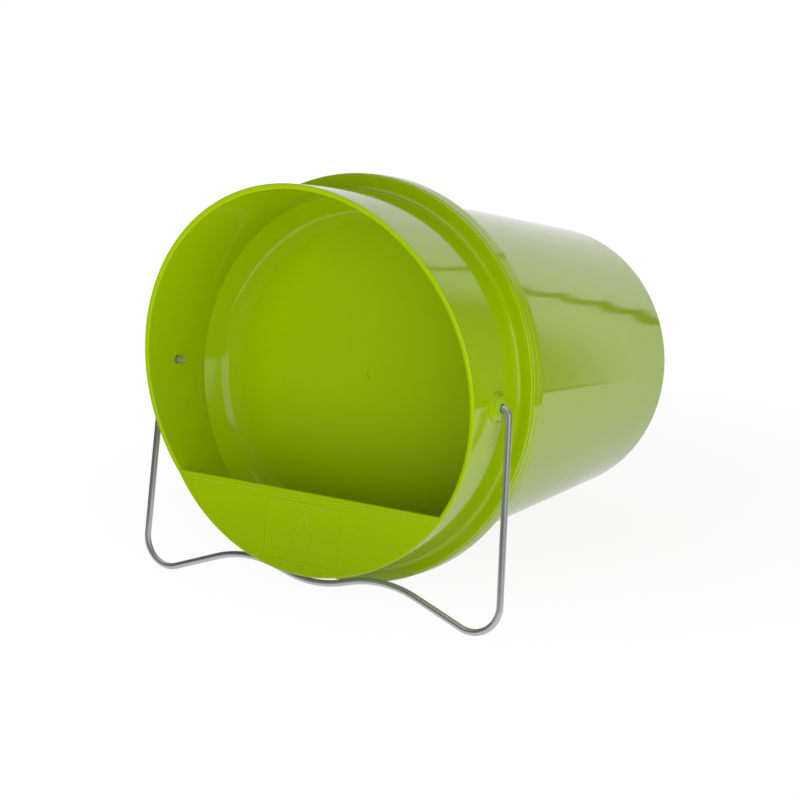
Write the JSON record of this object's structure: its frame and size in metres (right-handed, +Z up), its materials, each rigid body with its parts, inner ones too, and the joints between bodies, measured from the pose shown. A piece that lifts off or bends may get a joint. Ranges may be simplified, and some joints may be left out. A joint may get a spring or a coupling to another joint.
{
  "type": "poultry drinker",
  "caption": "Bucket drinker for poultry, lying on its wire bail, with a press-on lid whose round hood holds an open drinking trough behind a low front wall.",
  "frame": {"origin": "middle of the drinker's length and width, on the ground it lies on, under the middle of its bounding box", "axes": "the open hood faces -Y and the bucket's base faces +Y, with the axis sloping 8 degrees up towards the hood; +X is to the right seen from the front; +Z is up"},
  "size_m": [0.2904, 0.3642, 0.2851],
  "materials": {
    "green_plastic": "glossy moulded polypropylene, lime green right through",
    "black_rubber": "plain moulded rubber",
    "galvanised_wire": "zinc-coated steel wire, drawn and bent, satin"
  },
  "bodies": {
    "bucket": {"bucket": "green_plastic"},
    "lid": {"drinking_lid": "green_plastic", "lid_seal": "black_rubber"},
    "bail": {"wire_bail": "galvanised_wire"}
  },
  "joints": [
    {"name": "lid_pull", "type": "slide", "parent": "bucket", "child": "lid", "axis": [0, -0.99, 0.1412], "range_m": [0, 0.05]},
    {"name": "bail_swing", "type": "hinge", "parent": "lid", "child": "bail", "pos_m": [0, -0.14541, 0.14808], "axis": [1, 0, 0], "range_deg": [-145, 10]}
  ]
}
